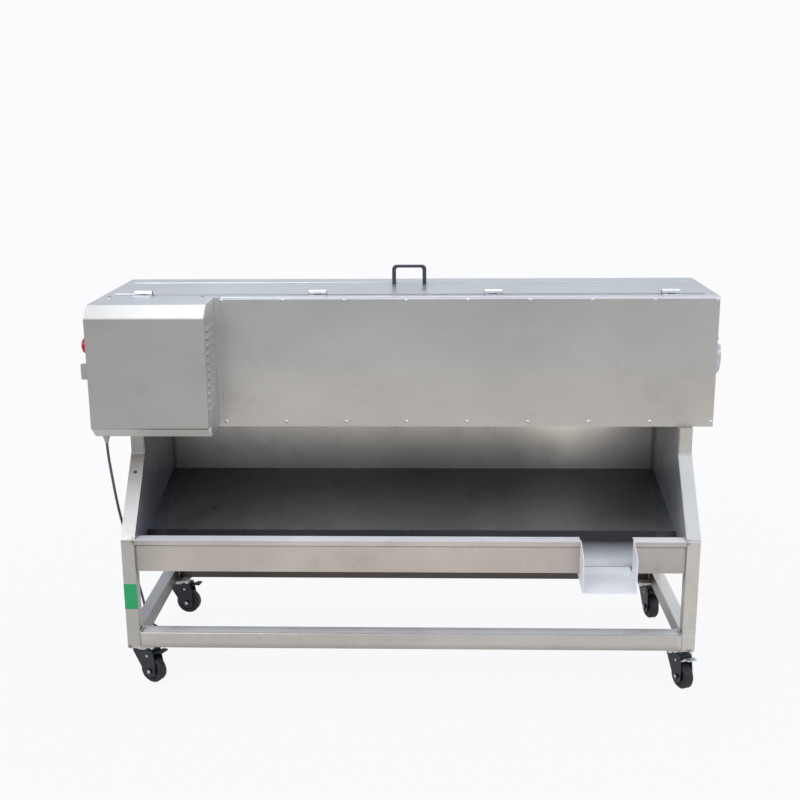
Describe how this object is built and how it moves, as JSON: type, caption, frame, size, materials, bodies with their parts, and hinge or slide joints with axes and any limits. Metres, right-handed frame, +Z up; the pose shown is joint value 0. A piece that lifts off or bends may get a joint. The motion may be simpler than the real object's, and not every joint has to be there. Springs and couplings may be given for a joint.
{
  "type": "vegetable peeling machine",
  "caption": "Long wheeled machine that peels root vegetables between rollers and ring knives, with hinged lid, control box and open trough with chute.",
  "frame": {"origin": "on the floor below the middle of the machine's bounding box", "axes": "+X to the right as seen from the front, +Y to the back, +Z up"},
  "size_m": [1.912, 0.66, 1.2203],
  "materials": {
    "panel_steel": "satin stainless sheet",
    "box_steel": "satin stainless sheet",
    "deck_steel": "smooth stainless sheet",
    "frame_steel": "satin stainless tube with brushed welds",
    "trough_steel": "satin rolled sheet",
    "chute_steel": "satin folded sheet",
    "inner_steel": "satin rolled sheet",
    "bright_screws": "bright zinc",
    "hinge_steel": "satin",
    "caster_zinc": "bright zinc plate",
    "caster_black": "satin black",
    "caster_tyre": "smooth black rubber",
    "pedal_black": "matt black",
    "handle_plastic": "fine grained dark slate",
    "grey_plastic": "matt beige-grey",
    "red_plastic": "smooth red",
    "cord_sheath": "matt dark grey sheath",
    "gearbox_casting": "hammered blue-grey paint",
    "contactor_plastic": "matt dark grey",
    "steel": "turned and ground steel",
    "roller_rubber": "soft food rubber"
  },
  "bodies": {
    "machine": {"housing_end_plates": "panel_steel", "rear_panel": "panel_steel", "front_cover": "panel_steel", "control_box": "box_steel", "top_deck": "deck_steel", "legs": "frame_steel", "lower_rails": "frame_steel", "slanted_tubes": "frame_steel", "trough_pan": "trough_steel", "trough_end_plates": "trough_steel", "discharge_chute": "chute_steel", "chain_wall": "inner_steel", "channel_rear_wall": "inner_steel", "gearbox_plate": "inner_steel", "cover_screws": "bright_screws", "caster_bolts": "bright_screws", "deck_hinge_leaves": "hinge_steel", "caster_top_plates": "caster_zinc", "estop_body": "grey_plastic", "switch_body": "grey_plastic", "cable_gland": "grey_plastic", "power_cord": "cord_sheath", "cord_coil": "cord_sheath", "power_plug": "cord_sheath", "worm_gearbox": "gearbox_casting", "drive_motor": "gearbox_casting", "contactor": "contactor_plastic", "press_shafts": "steel", "shaft_bearings": "steel", "drive_chain": "steel", "knife_plates": "steel", "knife_blades": "steel", "end_collars": "steel"},
    "lid": {"lid": "deck_steel", "lid_hinge_leaves": "hinge_steel", "lid_handle": "handle_plastic"},
    "estop_button": {"estop_button": "red_plastic"},
    "switch_knob": {"switch_knob": "grey_plastic"},
    "fork_front_left": {"caster_fork_front_left": "caster_black"},
    "wheel_front_left": {"caster_wheel_front_left": "caster_tyre"},
    "pedal_front_left": {"brake_pedal_front_left": "pedal_black"},
    "fork_front_right": {"caster_fork_front_right": "caster_black"},
    "wheel_front_right": {"caster_wheel_front_right": "caster_tyre"},
    "pedal_front_right": {"brake_pedal_front_right": "caster_zinc"},
    "fork_rear_left": {"caster_fork_rear_left": "caster_black"},
    "wheel_rear_left": {"caster_wheel_rear_left": "caster_tyre"},
    "pedal_rear_left": {"brake_pedal_rear_left": "pedal_black"},
    "fork_rear_right": {"caster_fork_rear_right": "caster_black"},
    "wheel_rear_right": {"caster_wheel_rear_right": "caster_tyre"},
    "pedal_rear_right": {"brake_pedal_rear_right": "pedal_black"},
    "feed_1": {"feed_roller_1": "roller_rubber"},
    "press_1": {"press_roller_1": "roller_rubber"},
    "feed_2": {"feed_roller_2": "roller_rubber"},
    "press_2": {"press_roller_2": "roller_rubber"},
    "feed_3": {"feed_roller_3": "roller_rubber"},
    "press_3": {"press_roller_3": "roller_rubber"},
    "feed_4": {"feed_roller_4": "roller_rubber"},
    "press_4": {"press_roller_4": "roller_rubber"},
    "feed_5": {"feed_roller_5": "roller_rubber"},
    "press_5": {"press_roller_5": "roller_rubber"}
  },
  "joints": [
    {"name": "lid_hinge", "type": "hinge", "parent": "machine", "child": "lid", "pos_m": [0, -0.0183, 1.168], "axis": [1, 0, 0], "range_deg": [0, 110]},
    {"name": "estop_press", "type": "slide", "parent": "machine", "child": "estop_button", "axis": [1, 0, 0], "range_m": [0, 0.005], "stiffness_N_per_m": 1500},
    {"name": "switch_turn", "type": "hinge", "parent": "machine", "child": "switch_knob", "pos_m": [-0.94, -0.169, 0.959], "axis": [1, 0, 0], "range_deg": [0, 90]},
    {"name": "feed_turn_1", "type": "hinge", "parent": "machine", "child": "feed_1", "pos_m": [-0.745, 0.108, 0.88], "axis": [0, 1, 0], "continuous": true},
    {"name": "feed_turn_2", "type": "hinge", "parent": "machine", "child": "feed_2", "pos_m": [-0.405, 0.108, 0.88], "axis": [0, 1, 0], "continuous": true},
    {"name": "feed_turn_3", "type": "hinge", "parent": "machine", "child": "feed_3", "pos_m": [-0.065, 0.108, 0.88], "axis": [0, 1, 0], "continuous": true},
    {"name": "feed_turn_4", "type": "hinge", "parent": "machine", "child": "feed_4", "pos_m": [0.275, 0.108, 0.88], "axis": [0, 1, 0], "continuous": true},
    {"name": "feed_turn_5", "type": "hinge", "parent": "machine", "child": "feed_5", "pos_m": [0.615, 0.108, 0.88], "axis": [0, 1, 0], "continuous": true},
    {"name": "press_turn_1", "type": "hinge", "parent": "machine", "child": "press_1", "pos_m": [-0.745, 0.108, 1.02], "axis": [0, 1, 0], "continuous": true},
    {"name": "press_turn_2", "type": "hinge", "parent": "machine", "child": "press_2", "pos_m": [-0.405, 0.108, 1.02], "axis": [0, 1, 0], "continuous": true},
    {"name": "press_turn_3", "type": "hinge", "parent": "machine", "child": "press_3", "pos_m": [-0.065, 0.108, 1.02], "axis": [0, 1, 0], "continuous": true},
    {"name": "press_turn_4", "type": "hinge", "parent": "machine", "child": "press_4", "pos_m": [0.275, 0.108, 1.02], "axis": [0, 1, 0], "continuous": true},
    {"name": "press_turn_5", "type": "hinge", "parent": "machine", "child": "press_5", "pos_m": [0.615, 0.108, 1.02], "axis": [0, 1, 0], "continuous": true},
    {"name": "swivel_front_left", "type": "hinge", "parent": "machine", "child": "fork_front_left", "pos_m": [-0.806, -0.215, 0.11], "axis": [0, 0, 1], "continuous": true},
    {"name": "wheel_turn_front_left", "type": "hinge", "parent": "fork_front_left", "child": "wheel_front_left", "pos_m": [-0.77881, -0.22768, 0.04], "axis": [-0.4226, -0.9063, 0], "continuous": true},
    {"name": "pedal_press_front_left", "type": "hinge", "parent": "fork_front_left", "child": "pedal_front_left", "pos_m": [-0.78425, -0.22514, 0.09], "axis": [0.4226, 0.9063, 0], "range_deg": [0, 15]},
    {"name": "swivel_front_right", "type": "hinge", "parent": "machine", "child": "fork_front_right", "pos_m": [0.814, -0.215, 0.11], "axis": [0, 0, 1], "continuous": true},
    {"name": "wheel_turn_front_right", "type": "hinge", "parent": "fork_front_right", "child": "wheel_front_right", "pos_m": [0.82524, -0.24282, 0.04], "axis": [-0.9272, -0.3746, 0], "continuous": true},
    {"name": "pedal_press_front_right", "type": "hinge", "parent": "fork_front_right", "child": "pedal_front_right", "pos_m": [0.82299, -0.23725, 0.09], "axis": [0.9272, 0.3746, 0], "range_deg": [0, 15]},
    {"name": "swivel_rear_left", "type": "hinge", "parent": "machine", "child": "fork_rear_left", "pos_m": [-0.806, 0.285, 0.11], "axis": [0, 0, 1], "continuous": true},
    {"name": "wheel_turn_rear_left", "type": "hinge", "parent": "fork_rear_left", "child": "wheel_rear_left", "pos_m": [-0.77646, 0.27979, 0.04], "axis": [-0.1736, -0.9848, 0], "continuous": true},
    {"name": "pedal_press_rear_left", "type": "hinge", "parent": "fork_rear_left", "child": "pedal_rear_left", "pos_m": [-0.78236, 0.28083, 0.09], "axis": [0.1736, 0.9848, 0], "range_deg": [0, 15]},
    {"name": "swivel_rear_right", "type": "hinge", "parent": "machine", "child": "fork_rear_right", "pos_m": [0.814, 0.285, 0.11], "axis": [0, 0, 1], "continuous": true},
    {"name": "wheel_turn_rear_right", "type": "hinge", "parent": "fork_rear_right", "child": "wheel_rear_right", "pos_m": [0.82075, 0.25577, 0.04], "axis": [-0.9744, -0.225, 0], "continuous": true},
    {"name": "pedal_press_rear_right", "type": "hinge", "parent": "fork_rear_right", "child": "pedal_rear_right", "pos_m": [0.8194, 0.26161, 0.09], "axis": [0.9744, 0.225, 0], "range_deg": [0, 15]}
  ],
  "couplings": [
    {"joint": "feed_turn_2", "follows": "feed_turn_1", "ratio": 1},
    {"joint": "feed_turn_3", "follows": "feed_turn_1", "ratio": 1},
    {"joint": "feed_turn_4", "follows": "feed_turn_1", "ratio": 1},
    {"joint": "feed_turn_5", "follows": "feed_turn_1", "ratio": 1}
  ]
}
